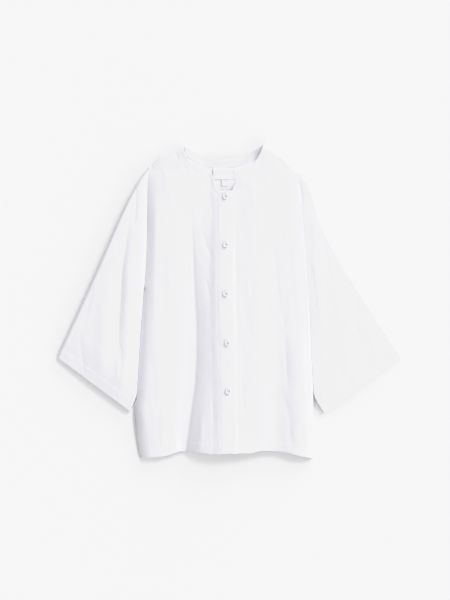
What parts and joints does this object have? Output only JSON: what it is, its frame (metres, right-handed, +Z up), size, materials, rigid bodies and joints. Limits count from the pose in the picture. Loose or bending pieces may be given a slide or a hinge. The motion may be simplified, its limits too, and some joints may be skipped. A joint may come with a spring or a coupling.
{
  "type": "linen blouse laid flat",
  "caption": "Collarless linen blouse laid flat, front side up, with a buttoned front band, dropped shoulders and wide sleeves brought down beside the body",
  "frame": {"origin": "on the surface that the blouse lies on, under the middle of its outline", "axes": "+Z up from the surface, +Y from hem to neck, +X to the viewer's right, which is the wearer's left"},
  "size_m": [0.759, 0.69, 0.0226],
  "materials": {
    "white_linen": "plain-weave linen, washed and softly creased",
    "neck_tape": "folded linen band, matt",
    "woven_label": "close woven tape, slight sheen, bare",
    "button_shell": "satin, shell effect"
  },
  "bodies": {
    "root": {"back": "white_linen", "front_right": "white_linen", "front_left": "white_linen", "button_band": "white_linen", "button_stand": "white_linen", "sleeve_right_top": "white_linen", "sleeve_right_under": "white_linen", "sleeve_left_top": "white_linen", "sleeve_left_under": "white_linen", "neck_facing": "neck_tape", "neck_label": "woven_label", "size_tab": "woven_label", "button_1": "button_shell", "button_2": "button_shell", "button_3": "button_shell", "button_4": "button_shell", "button_5": "button_shell"}
  },
  "joints": []
}
